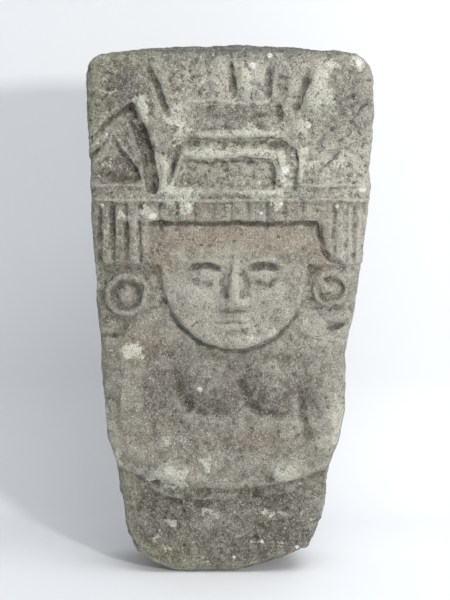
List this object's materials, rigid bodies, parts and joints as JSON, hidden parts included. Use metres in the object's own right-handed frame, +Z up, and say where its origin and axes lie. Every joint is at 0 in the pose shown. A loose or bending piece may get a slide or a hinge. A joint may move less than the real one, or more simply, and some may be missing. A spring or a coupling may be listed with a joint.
{
  "type": "carved stone stele",
  "caption": "Upright slab of weathered stone, narrower and broken at the foot, carved in low relief with a figure under a tall feathered headdress; plain back.",
  "frame": {"origin": "on the ground plane, under the centre of the stone's bounding box", "axes": "+Z up along the slab's height, +X to the right as seen from the front, -Y out of the carved front and +Y out of the plain back"},
  "size_m": [0.296, 0.1134, 0.56],
  "materials": {
    "stone": "weathered and pitted grey stone with lichen"
  },
  "bodies": {
    "root": {"stele": "stone"}
  },
  "joints": []
}
